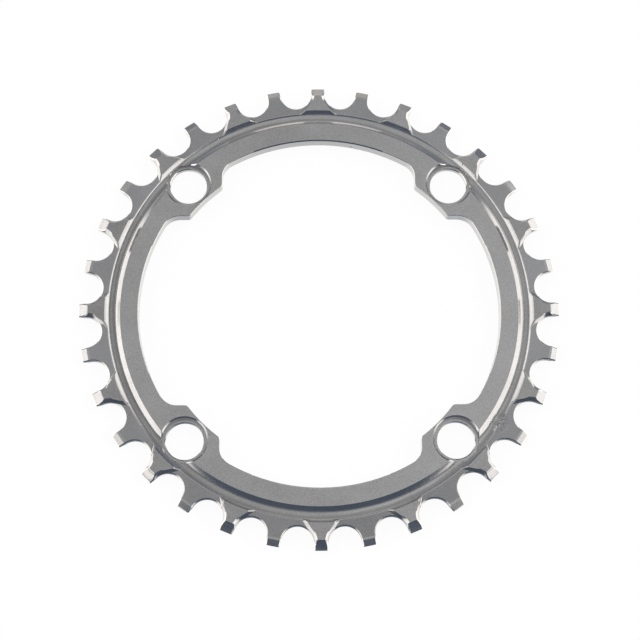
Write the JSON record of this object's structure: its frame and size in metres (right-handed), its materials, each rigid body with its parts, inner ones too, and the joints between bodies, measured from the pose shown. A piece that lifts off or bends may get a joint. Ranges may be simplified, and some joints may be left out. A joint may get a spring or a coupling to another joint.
{
  "type": "bicycle chainring",
  "caption": "Flat one-piece bicycle chainring with alternating wide and narrow teeth, a turned groove inside the teeth, open bays and counterbored bolt tabs.",
  "frame": {"origin": "on the ring's axis, in the plane of its back face", "axes": "+Z along the ring's axis towards the grooved front face, +X through a wide tooth and the middle of a bay; the bolt holes are on the diagonals"},
  "size_m": [0.1332, 0.1332, 0.0035],
  "materials": {
    "ring": "satin grey anodised"
  },
  "bodies": {
    "root": {"chainring": "ring"}
  },
  "joints": []
}
